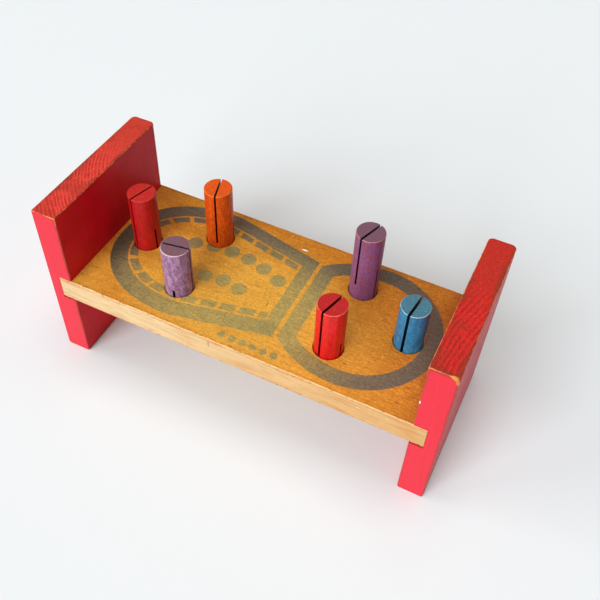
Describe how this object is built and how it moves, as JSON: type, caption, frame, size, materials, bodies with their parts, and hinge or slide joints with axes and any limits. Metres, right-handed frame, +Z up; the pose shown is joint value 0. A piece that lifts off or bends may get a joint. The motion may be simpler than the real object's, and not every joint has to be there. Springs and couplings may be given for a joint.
{
  "type": "pounding bench",
  "caption": "Toy cobbler's bench: split wooden pegs are hammered through holes in a board held between upright end boards, then the bench is turned over to hammer them back.",
  "frame": {"origin": "on the floor at the middle of the toy", "axes": "+X along the bench towards the blue peg, +Y towards the long side with the orange peg, +Z up"},
  "size_m": [0.254, 0.1026, 0.1195],
  "materials": {
    "varnished_wood": "worn satin varnish",
    "red_painted_wood": "satin, worn at the edges",
    "nail_steel": "thinly painted over",
    "red_dye": "dyed, matt, worn rims",
    "orange_dye": "dyed, matt, worn rims",
    "purple_dye": "dyed, matt, worn rims",
    "blue_dye": "dyed, matt, worn rims"
  },
  "bodies": {
    "bench": {"bench_board": "varnished_wood", "left_end_board": "red_painted_wood", "right_end_board": "red_painted_wood", "left_end_nails": "nail_steel", "right_end_nails": "nail_steel"},
    "left_outer_red_peg": {"left_outer_red_peg": "red_dye"},
    "left_rear_orange_peg": {"left_rear_orange_peg": "orange_dye"},
    "left_front_purple_peg": {"left_front_purple_peg": "purple_dye"},
    "right_rear_purple_peg": {"right_rear_purple_peg": "purple_dye"},
    "right_front_red_peg": {"right_front_red_peg": "red_dye"},
    "right_outer_blue_peg": {"right_outer_blue_peg": "blue_dye"}
  },
  "joints": [
    {"name": "left_outer_red_peg_slide", "type": "slide", "parent": "bench", "child": "left_outer_red_peg", "axis": [0, 0, 1], "range_m": [-0.0403, 0.0081]},
    {"name": "left_rear_orange_peg_slide", "type": "slide", "parent": "bench", "child": "left_rear_orange_peg", "axis": [0, 0, 1], "range_m": [-0.0419, 0.0065]},
    {"name": "left_front_purple_peg_slide", "type": "slide", "parent": "bench", "child": "left_front_purple_peg", "axis": [0, 0, 1], "range_m": [-0.0346, 0.0138]},
    {"name": "right_rear_purple_peg_slide", "type": "slide", "parent": "bench", "child": "right_rear_purple_peg", "axis": [0, 0, 1], "range_m": [-0.0484, 0]},
    {"name": "right_front_red_peg_slide", "type": "slide", "parent": "bench", "child": "right_front_red_peg", "axis": [0, 0, 1], "range_m": [-0.0375, 0.0109]},
    {"name": "right_outer_blue_peg_slide", "type": "slide", "parent": "bench", "child": "right_outer_blue_peg", "axis": [0, 0, 1], "range_m": [-0.0314, 0.017]}
  ]
}
